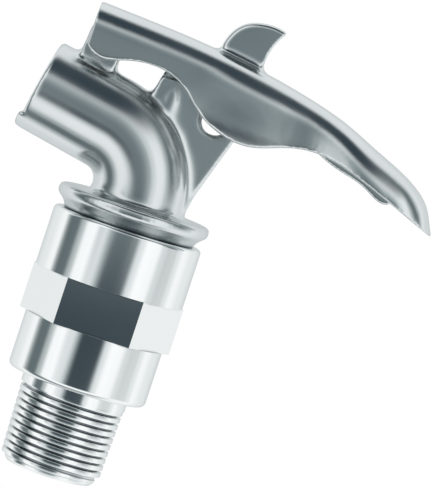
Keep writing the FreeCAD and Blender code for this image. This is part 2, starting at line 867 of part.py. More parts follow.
def make_pin_hole():
    depth = sizes["heel_half"] - sizes["lever_wall"] + sizes["pin_grip"]
    length = depth + sizes["heel_half"] + sizes["cut_spare"]
    return Part.makeCylinder(sizes["pin_radius"], length, Vector(0, depth, 0), Vector(0, -1, 0))


# Pin pressed in from the far cheek, ending blind in the near one
def make_lever_pin():
    body = new_body("lever_pin")
    near = d.heel_half - d.lever_wall + d.pin_grip
    far = -(d.heel_half - d.pin_end_chamfer)
    section = new_sketch(body, "XY_Plane", "pin_section")
    draw(section, [
        (zero, far),
        (d.pin_radius - d.pin_end_chamfer, far),
        (d.pin_radius, far + d.pin_end_chamfer),
        (d.pin_radius, near),
        (zero, near),
    ])
    turned(body, section, "pin_turned", axis="V_Axis")
    return body


# Stem with a domed push end, two ring grooves, a clamping collar and a threaded tail
def make_valve_stem():
    body = new_body("valve_stem")
    tail_end = nut_end - d.stem_thread_spare
    groove = d.stem_radius - d.groove_depth
    dome_rise = sphere_height(d.stem_dome, d.stem_flat) - sphere_height(d.stem_dome, d.stem_radius)
    dome_start = stem_top - dome_rise
    section = new_sketch(body, "XZ_Plane", "stem_section")
    corners = [
        (tail_end, zero),
        (tail_end, d.stem_thread_radius - d.stem_chamfer),
        (tail_end + d.stem_chamfer, d.stem_thread_radius),
        (seat_face, d.stem_thread_radius),
        (seat_face, d.stem_collar_radius),
        (seat_face + d.stem_collar, d.stem_collar_radius),
        (seat_face + d.stem_collar, d.stem_radius),
    ]
    for start in groove_starts:
        corners += [
            (start, d.stem_radius),
            (start, groove),
            (start + d.groove_width, groove),
            (start + d.groove_width, d.stem_radius),
        ]
    corners += [(dome_start, d.stem_radius, -d.stem_dome), (stem_top, d.stem_flat), (stem_top, zero)]
    draw(section, corners)
    turned(body, section, "stem_turned")
    return body


def make_stem_ring(label, start):
    body = new_body(label)
    section = new_sketch(body, "XZ_Plane", f"{label}_section")
    lift = d.stem_radius - d.groove_depth + d.ring_gap + d.ring_section
    draw_circle(section, d.ring_section, start + d.groove_width / 2, lift)
    turned(body, section, f"{label}_turned")
    return body


# Metal plate that backs the seal: a shallow cup with a spigot that centres the spring
def make_valve_plate():
    body = new_body("valve_plate")
    spigot_radius = spring_radius - d.spring_wire - d.spring_gap
    section = new_sketch(body, "XZ_Plane", "plate_section")
    draw(section, [
        (plate_back - d.plate_spigot, spigot_radius - d.plate_thickness),
        (plate_back - d.plate_spigot, spigot_radius),
        (plate_back, spigot_radius),
        (plate_back, plate_radius),
        (seal_back + d.plate_rim, plate_radius),
        (seal_back + d.plate_rim, seal_radius + d.bolt_gap),
        (seal_back, seal_radius + d.bolt_gap),
        (seal_back, d.stem_thread_radius + d.bolt_gap),
        (plate_back, d.stem_thread_radius + d.bolt_gap),
        (plate_back, spigot_radius - d.plate_thickness),
    ])
    turned(body, section, "plate_turned")
    return body


def make_stem_nut():
    body = new_body("stem_nut")
    outline = new_sketch(body, "YZ_Plane", "nut_outline", (zero, zero, nut_end))
    draw(outline, hexagon_corners(d.nut_flats))
    draw_circle(outline, d.stem_thread_radius + d.bolt_gap)
    extruded(body, outline, "nut", d.nut_height)
    return body


def make_return_spring():
    low = d.chamber_floor + d.spring_wire + d.spring_gap
    high = plate_back - d.spring_wire - d.spring_gap
    helix = doc.addObject("Part::Helix", "spring_line")
    helix.setExpression("Height", (high - low).text)
    helix.setExpression("Pitch", ((high - low) / d.spring_turns).text)
    helix.setExpression("Radius", spring_radius.text)
    wire = doc.addObject("Part::Circle", "spring_wire_section")
    wire.setExpression("Radius", d.spring_wire.text)
    wire.Placement = Placement(Vector(spring_radius.number, 0, 0), Rotation(Vector(1, 0, 0), 90))
    wire.setExpression("Placement.Base.x", spring_radius.text)
    spring = doc.addObject("Part::Sweep", "return_spring")
    spring.Label = "return_spring"
    spring.Sections = [wire]
    spring.Spine = (helix, ["Edge1"])
    spring.Solid = True
    spring.Frenet = True
    spring.Placement = Placement(Vector(low.number, 0, 0), Rotation(Vector(0, 1, 0), 90))
    spring.setExpression("Placement.Base.x", low.text)
    return spring


# Places of the valve's pieces, from the seat inwards
seal_back = seat_face - d.seal_thickness
plate_back = seal_back - d.plate_thickness
washer_back = plate_back - d.washer_thickness
nut_end = washer_back - d.nut_height
inner_groove = boss_top - d.groove_setback
groove_starts = [inner_groove, inner_groove + d.groove_spacing]

parts = [make_inlet_body(), make_spout_body()]
lever = doc.addObject("Part::Feature", "lever")
lever.Label = "lever"
lever.Shape = make_lever()
lever.Placement = Placement(Vector(pivot_x.number, 0, -d.pivot_offset.number), Rotation())
pin = make_lever_pin()
pin.Placement = lever.Placement
bolt_bore = d.stem_thread_radius + d.bolt_gap
parts += [
    lever,
    pin,
    make_valve_stem(),
    make_stem_ring("stem_ring_inner", groove_starts[0]),
    make_stem_ring("stem_ring_outer", groove_starts[1]),
    new_ring("valve_seal", seal_back, seat_face, bolt_bore, seal_radius),
    make_valve_plate(),
    new_ring("nut_washer", washer_back, plate_back, bolt_bore, d.washer_radius),
    make_stem_nut(),
    make_return_spring(),
    new_ring("body_gasket", socket_floor, spigot_end, gasket_inner, socket_radius - d.gasket_gap),
]

doc.recompute()
for item in doc.Objects:
    if "Invalid" in item.State or "Error" in item.State:
        raise RuntimeError(f"{item.Label} failed to build: {item.State}")
os.makedirs("parts", exist_ok=True)
for part in parts:
    if part.Shape.isNull() or not part.Shape.isValid() or not part.Shape.Solids:
        raise RuntimeError(f"{part.Label} has no valid solid")
    print(part.Label, len(part.Shape.Solids), "solid", round(part.Shape.Volume / 1000, 3), "cm3")
    part.Shape.exportStep(f"parts/{part.Label}.step")
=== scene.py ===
import bmesh
import bpy
import json
import math
from mathutils import Matrix, Vector


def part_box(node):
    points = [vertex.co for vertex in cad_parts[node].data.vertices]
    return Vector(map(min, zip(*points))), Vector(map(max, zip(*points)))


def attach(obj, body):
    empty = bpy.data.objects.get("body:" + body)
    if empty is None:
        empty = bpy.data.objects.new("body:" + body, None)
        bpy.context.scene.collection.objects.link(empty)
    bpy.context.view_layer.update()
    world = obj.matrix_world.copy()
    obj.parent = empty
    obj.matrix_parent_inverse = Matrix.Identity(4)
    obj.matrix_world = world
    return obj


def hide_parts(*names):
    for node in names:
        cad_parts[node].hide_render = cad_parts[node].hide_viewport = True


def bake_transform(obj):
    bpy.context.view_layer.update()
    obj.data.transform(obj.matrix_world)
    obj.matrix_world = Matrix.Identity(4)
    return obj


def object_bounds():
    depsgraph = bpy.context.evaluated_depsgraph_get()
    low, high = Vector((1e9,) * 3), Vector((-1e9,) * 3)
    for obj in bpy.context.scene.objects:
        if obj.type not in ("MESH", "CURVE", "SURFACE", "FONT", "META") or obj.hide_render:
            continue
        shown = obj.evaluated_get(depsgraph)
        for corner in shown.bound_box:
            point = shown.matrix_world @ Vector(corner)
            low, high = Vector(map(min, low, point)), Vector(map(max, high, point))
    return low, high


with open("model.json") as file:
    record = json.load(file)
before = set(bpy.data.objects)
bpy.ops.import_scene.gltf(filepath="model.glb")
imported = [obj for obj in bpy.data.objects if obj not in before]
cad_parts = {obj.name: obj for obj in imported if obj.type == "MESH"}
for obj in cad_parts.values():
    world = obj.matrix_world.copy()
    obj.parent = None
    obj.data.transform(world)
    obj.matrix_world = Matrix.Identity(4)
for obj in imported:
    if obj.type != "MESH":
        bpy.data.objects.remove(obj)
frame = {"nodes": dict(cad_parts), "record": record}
cadBox = [list(corner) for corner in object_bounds()]
mm = 0.001
mergeDistance = 0.001 * mm  # points closer than this are one
print("drum tap: frame loaded,", len(frame["nodes"]), "pieces")


def linear(hexColour):  # an sRGB hex colour as linear red, green, blue and alpha
    parts = [int(hexColour[i:i + 2], 16) / 255 for i in (1, 3, 5)]
    return [c / 12.92 if c <= 0.04045 else ((c + 0.055) / 1.055) ** 2.4 for c in parts] + [1.0]


def addNode(tree, kind, inputs=None, **settings):  # a node with its settings, values and links
    node = tree.nodes.new(kind)
    for name, value in settings.items():
        setattr(node, name, value)
    for key, value in (inputs or {}).items():
        if isinstance(value, bpy.types.NodeSocket):
            tree.links.new(value, node.inputs[key])
        else:
            node.inputs[key].default_value = value
    return node


def newMaterial(name):
    material = bpy.data.materials.new(name)
    material.use_nodes = True
    material.node_tree.nodes.clear()
    return material, material.node_tree


def finishMaterial(tree, shader):
    addNode(tree, "ShaderNodeOutputMaterial", {"Surface": shader.outputs[0]})


def setRamp(node, stops):  # stops are (position, hex colour)
    ramp = node.color_ramp
    while len(ramp.elements) < len(stops):
        ramp.elements.new(0.5)
    for element, (position, colour) in zip(ramp.elements, stops):
        element.position = position
        element.color = linear(colour)


# The inlet's drum thread, which both its ridge and its finish follow
threadLook = {
    "pitch": 1.814,        # mm, 14 threads to the inch
    "depth": 1.12,         # mm from root to crest
    "start": 1.0,          # mm from the nipple's end to the first turn
    "runIn": 0.9,          # mm that the last turn goes on inside the collar
    "taper": 1 / 32,       # rise of the cone's radius along its length
    "rootRadius": 11.59,   # mm at the nipple's end
    "rootWidth": 1.78,     # mm, so that the valleys meet in a narrow flat
    "crestWidth": 1.05,    # mm
    "rounding": 0.10,      # mm, on the ridge's corners
    "sink": 0.18,          # mm that each turn stands in the cone
    "nippleLength": 20.2,  # mm
    "stepsPerTurn": 72,
    "cornerSteps": 3,      # points along each rounded corner
    "fade": 0.06,          # share of its length over which each end of the thread dies away
    "thinnest": 0.02,      # share of its section that is left at its very end
    "wander": 0.09,        # mm of unevenness that plating leaves on the crests
    "wanderPeriod": 2.2,   # mm from one swell of it to the next
}


# Bright nickel-chrome plating over metal: a cool mirror, so that the studio's edges show in it as smooth
# dark and light bands. Over the turned inlet body it is clear. Over the tumbled zinc castings it is a
# little milky and gently uneven.
turnedPlatingLook = {
    "name": "chromePlatedTurnedCasting",
    "colour": "#e9ebeb",
    "roughness": 0.10,
    "roughnessSpread": 0.04,
    "wavePeriod": 14.0,     # mm between the slow swells that polishing leaves
    "waveHeight": 0.006,    # mm
    "grainPeriod": 0.9,     # mm between the fine pits of the plated skin
    "grainHeight": 0.0012,  # mm
}
castPlatingLook = {
    "name": "chromePlatedZincCasting",
    "colour": "#d3d7d8",
    "roughness": 0.2,
    "roughnessSpread": 0.06,
    "wavePeriod": 13.0,
    "waveHeight": 0.11,
    "grainPeriod": 1.1,
    "grainHeight": 0.0015,
}


# Painted shade in the thread's roots: the grooves between the ridges are darkened where shade falls
rootShadeLook = {
    "name": "chromePlatedPipeThread",
    "colour": "#4a5356",
    "from": 0.02,  # mm over the cone at which the root's painted shade starts to clear
    "to": 0.26,    # mm over the cone at which it has cleared
}


def rootShadeMask(tree, place):  # 0 in the thread's roots, where the shade is painted, 1 on its crests
    look = threadLook
    spot = addNode(tree, "ShaderNodeSeparateXYZ", {0: place})
    flat = addNode(tree, "ShaderNodeCombineXYZ", {"Y": spot.outputs[1], "Z": spot.outputs[2]})
    radius = addNode(tree, "ShaderNodeVectorMath", {0: flat.outputs[0]}, operation="LENGTH").outputs["Value"]
    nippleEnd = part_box("inlet_body")[0][0]
    cone = addNode(tree, "ShaderNodeMapRange", {
        "Value": spot.outputs[0], "From Min": nippleEnd, "From Max": nippleEnd + look["nippleLength"] * mm,
        "To Min": look["rootRadius"] * mm,
        "To Max": (look["rootRadius"] + look["taper"] * look["nippleLength"]) * mm}, clamp=False)
    height = addNode(tree, "ShaderNodeMath", {0: radius, 1: cone.outputs[0]}, operation="SUBTRACT")
    return addNode(tree, "ShaderNodeMapRange", {
        "Value": height.outputs[0], "From Min": rootShadeLook["from"] * mm, "From Max": rootShadeLook["to"] * mm,
        "To Min": 0.0, "To Max": 1.0}, interpolation_type="SMOOTHSTEP").outputs[0]


# Painted shade: the plating's colour is darkened where two forms meet, the less open sky a point has
cornerShadeLook = {
    # the painted shade's colour
    "colour": "#566168",
    "reach": 1.1,  # mm over which a corner's other side counts
    "full": 0.30,  # share of open sky at which the painted shade is full
    "none": 0.80,  # share of open sky from which it is gone
    "rays": 8,     # sent out at each point to find that other side
}


def paintedCornerShade(tree, tone):
    look = cornerShadeLook
    sky = addNode(tree, "ShaderNodeAmbientOcclusion", {"Distance": look["reach"] * mm}, samples=look["rays"])
    clear = addNode(tree, "ShaderNodeMapRange", {
        "Value": sky.outputs["AO"], "From Min": look["full"], "From Max": look["none"],
        "To Min": 0.0, "To Max": 1.0}, interpolation_type="SMOOTHSTEP").outputs[0]
    return addNode(tree, "ShaderNodeMix", {0: clear, 6: linear(look["colour"]), 7: tone},
                   data_type="RGBA").outputs[2]


def chromePlating(look, thread=False):
    material, tree = newMaterial(rootShadeLook["name"] if thread else look["name"])
    place = addNode(tree, "ShaderNodeTexCoord").outputs["Object"]
    tone = linear(look["colour"])
    if thread:
        # painted shade in the thread's roots
        crest = rootShadeMask(tree, place)
        tone = addNode(tree, "ShaderNodeMix", {0: crest, 6: linear(rootShadeLook["colour"]), 7: tone},
                       data_type="RGBA").outputs[2]
    else:
        # painted shade in the corners where forms meet
        tone = paintedCornerShade(tree, tone)
    swell = addNode(tree, "ShaderNodeTexNoise", {
        "Vector": place, "Scale": 1 / (look["wavePeriod"] * mm), "Detail": 1.0, "Roughness": 0.4})
    pits = addNode(tree, "ShaderNodeTexNoise", {
        "Vector": place, "Scale": 1 / (look["grainPeriod"] * mm), "Detail": 2.0, "Roughness": 0.5})
    swellBump = addNode(tree, "ShaderNodeBump", {
        "Height": swell.outputs[0], "Strength": 1.0, "Distance": look["waveHeight"] * mm})
    pitBump = addNode(tree, "ShaderNodeBump", {
        "Height": pits.outputs[0], "Strength": 1.0, "Distance": look["grainHeight"] * mm,
        "Normal": swellBump.outputs[0]})
    low, high = 0.3, 0.7  # most of the noise's values lie between these
    haze = addNode(tree, "ShaderNodeMapRange", {
        "Value": swell.outputs[0], "From Min": low, "From Max": high,
        "To Min": look["roughness"] - look["roughnessSpread"] / 2,
        "To Max": look["roughness"] + look["roughnessSpread"] / 2})
    shader = addNode(tree, "ShaderNodeBsdfPrincipled", {
        "Base Color": tone, "Metallic": 1.0, "Roughness": haze.outputs[0],
        "Normal": pitBump.outputs[0]})
    finishMaterial(tree, shader)
    return material


# Stainless steel, turned or drawn: greyer than the plating, with fine rings round the inlet's axis
steelLook = {
    "name": "turnedStainlessSteel",
    "colour": "#c3c4c2",
    "roughness": 0.3,
    "ringPeriod": 0.35,   # mm from one tool mark to the next
    "ringDepth": 0.004,   # mm
    "ringStrength": 0.5,
    "ringWander": 0.6,
}


def turnedSteel():
    look = steelLook
    material, tree = newMaterial(look["name"])
    place = addNode(tree, "ShaderNodeTexCoord").outputs["Object"]
    bandWidth = 0.3  # about what one band of a wave texture measures at scale 1
    rings = addNode(tree, "ShaderNodeTexWave", {
        "Vector": place, "Scale": bandWidth / (look["ringPeriod"] * mm), "Distortion": look["ringWander"],
        "Detail": 1.0}, bands_direction="X")
    marks = addNode(tree, "ShaderNodeBump", {
        "Height": rings.outputs[1], "Strength": look["ringStrength"], "Distance": look["ringDepth"] * mm})
    shader = addNode(tree, "ShaderNodeBsdfPrincipled", {
        "Base Color": linear(look["colour"]), "Metallic": 1.0, "Roughness": look["roughness"],
        "Normal": marks.outputs[0]})
    finishMaterial(tree, shader)
    return material


# Free-cutting brass, turned and left bare: warm and satin, with faint dull patches
brassLook = {
    "name": "turnedBrass",
    "tones": [(0.35, "#d8b26a"), (0.65, "#b98f4a")],  # from clean to tarnished
    "roughness": 0.28,
    "patchPeriod": 4.0,  # mm across a tarnish patch
}


def turnedBrass():
    look = brassLook
    material, tree = newMaterial(look["name"])
    place = addNode(tree, "ShaderNodeTexCoord").outputs["Object"]
    patches = addNode(tree, "ShaderNodeTexNoise", {
        "Vector": place, "Scale": 1 / (look["patchPeriod"] * mm), "Detail": 3.0})
    tone = addNode(tree, "ShaderNodeValToRGB", {"Fac": patches.outputs[0]})
    setRamp(tone, look["tones"])
    shader = addNode(tree, "ShaderNodeBsdfPrincipled", {
        "Base Color": tone.outputs[0], "Metallic": 1.0, "Roughness": look["roughness"]})
    finishMaterial(tree, shader)
    return material


# Nitrile rubber, compression moulded: near black and matte, with the mould's fine grain
rubberLook = {
    "name": "mouldedNitrileRubber",
    "tones": [(0.3, "#191a1a"), (0.7, "#262727")],
    "roughness": 0.62,
    "ior": 1.52,
    "grainPeriod": 0.5,    # mm
    "grainHeight": 0.02,   # mm
    "grainStrength": 0.4,
}


def mouldedRubber():
    look = rubberLook
    material, tree = newMaterial(look["name"])
    place = addNode(tree, "ShaderNodeTexCoord").outputs["Object"]
    grain = addNode(tree, "ShaderNodeTexNoise", {
        "Vector": place, "Scale": 1 / (look["grainPeriod"] * mm), "Detail": 3.0})
    tone = addNode(tree, "ShaderNodeValToRGB", {"Fac": grain.outputs[0]})
    setRamp(tone, look["tones"])
    skin = addNode(tree, "ShaderNodeBump", {
        "Height": grain.outputs[0], "Strength": look["grainStrength"], "Distance": look["grainHeight"] * mm})
    shader = addNode(tree, "ShaderNodeBsdfPrincipled", {
        "Base Color": tone.outputs[0], "Roughness": look["roughness"], "IOR": look["ior"],
        "Normal": skin.outputs[0]})
    finishMaterial(tree, shader)
    return material


turnedPlating = chromePlating(turnedPlatingLook)
threadPlating = chromePlating(turnedPlatingLook, thread=True)
castPlating = chromePlating(castPlatingLook)
steel = turnedSteel()
brass = turnedBrass()
rubber = mouldedRubber()
slotMaterials = {
    "plated_casting": castPlating,
    "bright_steel": steel,
    "turned_brass": brass,
    "black_rubber": rubber,
}
for entry in frame["record"]["subparts"]:
    mesh = frame["nodes"][entry["node"]].data
    mesh.materials.clear()
    mesh.materials.append(slotMaterials[entry["material_slot"]])
print("drum tap: materials made")


def addModifier(piece, kind, **settings):
    modifier = piece.modifiers.new(kind.lower(), kind)
    for name, value in settings.items():
        setattr(modifier, name, value)
    return modifier  # the caller may set a tree's inputs on it


def baked(piece, name):  # the piece as its modifiers leave it, as a plain mesh object of its own
    graph = bpy.context.evaluated_depsgraph_get()
    mesh = bpy.data.meshes.new_from_object(piece.evaluated_get(graph))
    mesh.name = name
    done = bpy.data.objects.new(name, mesh)
    bpy.context.scene.collection.objects.link(done)
    return done


# The CAD's mesh merged into one skin, to be worked on
def mergedCopy(node, name):
    shape = bmesh.new()
    shape.from_mesh(frame["nodes"][node].data)
    bmesh.ops.remove_doubles(shape, verts=shape.verts, dist=mergeDistance)
    mesh = bpy.data.meshes.new(name)
    shape.to_mesh(mesh)
    shape.free()
    copy = bpy.data.objects.new(name, mesh)
    bpy.context.scene.collection.objects.link(copy)
    return copy


def shadeSmooth(mesh):
    mesh.polygons.foreach_set("use_smooth", [True] * len(mesh.polygons))


def finished(piece, node, body, material):
    piece.data.materials.clear()
    piece.data.materials.append(material)
    print("drum tap:", piece.name, len(piece.data.polygons), "faces")
    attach(piece, body)
    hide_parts(node)


# The turned inlet body: crisp flats and shoulders, each edge just broken as by a deburring tool
turnedLook = {
    "edge": 0.16,    # mm that each edge is broken by
    "segments": 2,
    "sharpest": 24,  # degrees of bend from which an edge counts
    "weight": 50,    # of wide faces against narrow ones in the edges' normals, 50 being even
    "flat": 17.0,    # mm from the axis to the hexagon's flats
    "slack": 0.1,    # mm
    "level": 0.02,   # how far a flat's normal may lean along the axis
}


# Facets of uneven width make a turned face's normals lean sideways. This turns them back to the axis. The
# hexagon's flats keep their own normals.
def trueNormals(mesh):
    look = turnedLook
    corners = mesh.corner_normals
    normals = [None] * len(mesh.loops)
    for face in mesh.polygons:
        reach = abs(face.normal.y * face.center.y + face.normal.z * face.center.z) / mm
        flat = abs(face.normal.x) < look["level"] and abs(reach - look["flat"]) < look["slack"]
        for corner in face.loop_indices:
            lean = corners[corner].vector
            if flat:
                normals[corner] = face.normal.copy()
                continue
            place = mesh.vertices[mesh.loops[corner].vertex_index].co
            radius = max(math.hypot(place.y, place.z), mergeDistance)
            out = (lean.y * place.y + lean.z * place.z) / radius
            normals[corner] = Vector((lean.x, out * place.y / radius, out * place.z / radius)).normalized()
    mesh.normals_split_custom_set(normals)


def turnedInlet():
    look = turnedLook
    bend = math.radians(look["sharpest"])
    work = mergedCopy("inlet_body", "inlet_work")
    shadeSmooth(work.data)
    work.data.set_sharp_from_angle(angle=bend)
    addModifier(work, "BEVEL", width=look["edge"] * mm, segments=look["segments"], limit_method="ANGLE",
                angle_limit=bend, use_clamp_overlap=True)
    addModifier(work, "WEIGHTED_NORMAL", mode="FACE_AREA", weight=look["weight"], keep_sharp=True)
    piece = baked(work, "inlet_body_turned")
    bpy.data.objects.remove(work)
    trueNormals(piece.data)
    finished(piece, "inlet_body", "body", turnedPlating)


turnedInlet()


# The soft fillets that a casting has in its inner corners: the skin is eased where it bends inwards
filletLook = {
    "settle": 6,        # rounds of blurring that let the bends along an outer edge cancel out
    "flattest": -0.03,  # radians of inward bend at which a corner starts to be filled
    "sharpest": -0.12,  # radians at which it is filled in full
    "spread": 6,        # rounds of blurring that carry the fill out from the corner
    "gain": 3.0,
}


def filletTree():
    look = filletLook
    tree = bpy.data.node_groups.new("castFillets", "GeometryNodeTree")
    tree.interface.new_socket("Geometry", in_out="INPUT", socket_type="NodeSocketGeometry")
    rounds = tree.interface.new_socket("rounds", in_out="INPUT", socket_type="NodeSocketInt").identifier
    tree.interface.new_socket("Geometry", in_out="OUTPUT", socket_type="NodeSocketGeometry")
    given = addNode(tree, "NodeGroupInput").outputs
    bend = addNode(tree, "GeometryNodeInputMeshEdgeAngle").outputs["Signed Angle"]
    settled = addNode(tree, "GeometryNodeBlurAttribute", {"Value": bend, "Iterations": look["settle"]},
                      data_type="FLOAT")
    hollow = addNode(tree, "ShaderNodeMapRange", {
        "Value": settled.outputs[0], "From Min": look["flattest"], "From Max": look["sharpest"],
        "To Min": 0.0, "To Max": 1.0})
    spread = addNode(tree, "GeometryNodeBlurAttribute", {
        "Value": hollow.outputs[0], "Iterations": look["spread"]}, data_type="FLOAT")
    raised = addNode(tree, "ShaderNodeMath", {0: spread.outputs[0], 1: look["gain"]}, operation="MULTIPLY",
                     use_clamp=True)
    kept = addNode(tree, "GeometryNodeStoreNamedAttribute", {
        "Geometry": given[0], "Name": "fill", "Value": raised.outputs[0]}, data_type="FLOAT", domain="POINT")
    fill = addNode(tree, "GeometryNodeInputNamedAttribute", {"Name": "fill"}, data_type="FLOAT").outputs[0]
    place = addNode(tree, "GeometryNodeInputPosition").outputs[0]
    eased = addNode(tree, "GeometryNodeBlurAttribute", {
        "Value": place, "Iterations": given["rounds"], "Weight": fill}, data_type="FLOAT_VECTOR")
    moved = addNode(tree, "GeometryNodeSetPosition", {
        "Geometry": kept.outputs[0], "Position": eased.outputs[0]})
    clean = addNode(tree, "GeometryNodeRemoveAttribute", {"Geometry": moved.outputs[0], "Name": "fill"})
    addNode(tree, "NodeGroupOutput", {"Geometry": clean.outputs[0]})
    return tree, rounds


castFillets, filletRounds = filletTree()


# The lever's cheeks swell a little over the belly, so their reflections bend there
bellyLook = {
    "middle": (72.5, 17.0),  # mm, along the inlet and up
    "reach": (15.5, 21.0),   # mm
    "height": 1.6,           # mm
    "inner": 3.0,            # mm from the middle plane at which the swelling starts
    "outer": 7.0,            # mm from which it is full
}


def swollenCheeks(mesh):
    look = bellyLook
    for vertex in mesh.vertices:
        place = vertex.co / mm
        far = sum(((value - middle) / reach) ** 2
                  for value, middle, reach in zip((place.x, place.z), look["middle"], look["reach"]))
        if far < 1:
            share = min(max((abs(place.y) - look["inner"]) / (look["outer"] - look["inner"]), 0.0), 1.0)
            vertex.co.y += math.copysign(look["height"] * share * (1 - far) ** 2 * mm, place.y)


# The two castings, with the small blends that casting and tumbling leave: the size in mm of the quads that
# draw each skin, and how many rounds ease its edges and fill its inner corners
castings = {
    "spout_body": {"body": "body", "voxel": 0.43, "ease": 10, "fillet": 24},
    "lever": {"body": "lever", "voxel": 0.38, "ease": 4, "fillet": 40},
}
easeStep = 0.5  # how far a round of easing moves a point towards its neighbours


# Even quads laid over the casting, pulled back on to its own surface, then eased along its edges
def blendedCasting(node, look):
    guide = mergedCopy(node, node + "_guide")
    work = mergedCopy(node, node + "_work")
    addModifier(work, "REMESH", mode="VOXEL", voxel_size=look["voxel"] * mm)
    addModifier(work, "SHRINKWRAP", target=guide, wrap_method="NEAREST_SURFACEPOINT")
    addModifier(work, "NODES", node_group=castFillets)[filletRounds] = look["fillet"]
    addModifier(work, "SMOOTH", factor=easeStep, iterations=look["ease"])
    piece = baked(work, node + "_blended")
    for spare in (work, guide):
        bpy.data.objects.remove(spare)
    shadeSmooth(piece.data)
    if node == "lever":
        swollenCheeks(piece.data)
    finished(piece, node, look["body"], castPlating)


for node, look in castings.items():
    blendedCasting(node, look)


# The return spring, which sits between the chamber's floor and the valve's plate: the CAD's coil merged into
# one skin, shaded smooth and given turned steel in place of the CAD's piece
def shorteningSpring():
    spring = mergedCopy("return_spring", "return_spring_coil")
    shadeSmooth(spring.data)
    spring.data.materials.append(steel)
    print("drum tap:", spring.name, len(spring.data.polygons), "faces")
    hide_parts("return_spring")
    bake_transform(spring)


shorteningSpring()


# The drum thread: a tapered right-hand V thread wound on the nipple's cone
def inletThread():
    look = threadLook
    tree = bpy.data.node_groups.new("pipeThread", "GeometryNodeTree")
    tree.interface.new_socket("Geometry", in_out="OUTPUT", socket_type="NodeSocketGeometry")
    length = look["nippleLength"] - look["start"] + look["runIn"]
    wanted = {
        "turns": length / look["pitch"],
        "length": length * mm,
        "firstRadius": (look["rootRadius"] + look["taper"] * look["start"] - look["sink"]) * mm,
        "lastRadius": (look["rootRadius"] + look["taper"] * (look["start"] + length) - look["sink"]) * mm,
        "ridgeHeight": (look["depth"] + look["sink"]) * mm,
        "rootWidth": look["rootWidth"] * mm,
        "crestWidth": look["crestWidth"] * mm,
        "rounding": look["rounding"] * mm,
        "fade": look["fade"],
        "thinnest": look["thinnest"],
        "wander": look["wander"] * mm,
    }
    sockets = {name: tree.interface.new_socket(name, in_out="INPUT", socket_type="NodeSocketFloat").identifier
               for name in wanted}
    sizes = addNode(tree, "NodeGroupInput").outputs
    coil = addNode(tree, "GeometryNodeCurveSpiral", {
        "Resolution": look["stepsPerTurn"], "Rotations": sizes["turns"], "Start Radius": sizes["firstRadius"],
        "End Radius": sizes["lastRadius"], "Height": sizes["length"]})
    upright = addNode(tree, "GeometryNodeSetCurveNormal", {"Curve": coil.outputs[0]}, mode="Z_UP")
    # both ends of the ridge die away
    along = addNode(tree, "GeometryNodeSplineParameter").outputs["Factor"]
    fromEnd = addNode(tree, "ShaderNodeMath", {0: 1.0, 1: along}, operation="SUBTRACT")
    nearest = addNode(tree, "ShaderNodeMath", {0: along, 1: fromEnd.outputs[0]}, operation="MINIMUM")
    swell = addNode(tree, "ShaderNodeMapRange", {
        "Value": nearest.outputs[0], "From Min": 0.0, "From Max": sizes["fade"], "To Min": sizes["thinnest"],
        "To Max": 1.0}, interpolation_type="SMOOTHSTEP")
    # the ridge's section: its foot lies on the coil and its crest points away from the axis
    section = addNode(tree, "GeometryNodeCurvePrimitiveQuadrilateral", {
        "Height": sizes["ridgeHeight"], "Bottom Width": sizes["rootWidth"], "Top Width": sizes["crestWidth"],
        "Offset": 0.0}, mode="TRAPEZOID")
    half = addNode(tree, "ShaderNodeMath", {0: sizes["ridgeHeight"], 1: 0.5}, operation="MULTIPLY")
    rise = addNode(tree, "ShaderNodeCombineXYZ", {"Y": half.outputs[0]})
    softened = addNode(tree, "GeometryNodeFilletCurve", {
        "Curve": section.outputs[0], "Count": look["cornerSteps"], "Radius": sizes["rounding"]}, mode="POLY")
    footed = addNode(tree, "GeometryNodeTransform", {
        "Geometry": softened.outputs[0], "Translation": rise.outputs[0]})
    turnedOut = addNode(tree, "GeometryNodeTransform", {
        "Geometry": footed.outputs[0], "Rotation": (0.0, 0.0, math.radians(90))})
    ridge = addNode(tree, "GeometryNodeCurveToMesh", {
        "Curve": upright.outputs[0], "Profile Curve": turnedOut.outputs[0], "Scale": swell.outputs[0],
        "Fill Caps": True})
    rough = addNode(tree, "ShaderNodeTexNoise", {"Scale": 1 / (look["wanderPeriod"] * mm), "Detail": 1.0},
                    noise_dimensions="3D")
    centred = addNode(tree, "ShaderNodeVectorMath", {0: rough.outputs["Color"], 1: (0.5, 0.5, 0.5)},
                      operation="SUBTRACT")
    shift = addNode(tree, "ShaderNodeVectorMath", {0: centred.outputs[0], "Scale": sizes["wander"]},
                    operation="SCALE")
    uneven = addNode(tree, "GeometryNodeSetPosition", {
        "Geometry": ridge.outputs[0], "Offset": shift.outputs[0]})
    # wound about the inlet's axis, with its ends on the side that the photo doesn't show
    laid = addNode(tree, "GeometryNodeTransform", {
        "Geometry": uneven.outputs[0], "Rotation": (math.radians(-90), 0.0, math.radians(-90)),
        "Translation": (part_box("inlet_body")[0][0] + look["start"] * mm, 0.0, 0.0)})
    real = addNode(tree, "GeometryNodeRealizeInstances", {"Geometry": laid.outputs[0]})
    dressed = addNode(tree, "GeometryNodeSetMaterial", {
        "Geometry": real.outputs[0], "Material": threadPlating})
    addNode(tree, "NodeGroupOutput", {"Geometry": dressed.outputs[0]})

    host = bpy.data.objects.new("threadHost", bpy.data.meshes.new("threadHost"))
    bpy.context.scene.collection.objects.link(host)
    modifier = host.modifiers.new("pipeThread", "NODES")
    modifier.node_group = tree
    for name, value in wanted.items():
        modifier[sockets[name]] = value
    piece = baked(host, "inlet_thread")
    bpy.data.objects.remove(host)
    shape = bmesh.new()
    shape.from_mesh(piece.data)
    bmesh.ops.remove_doubles(shape, verts=shape.verts, dist=mergeDistance)
    bmesh.ops.recalc_face_normals(shape, faces=shape.faces)
    shape.to_mesh(piece.data)
    shape.free()
    radii = [math.hypot(v.co.y, v.co.z) / mm for v in piece.data.vertices]
    print("drum tap: thread,", len(piece.data.polygons), "faces, radius", round(min(radii), 2), "to",
          round(max(radii), 2), "mm")
    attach(piece, "body")


inletThread()


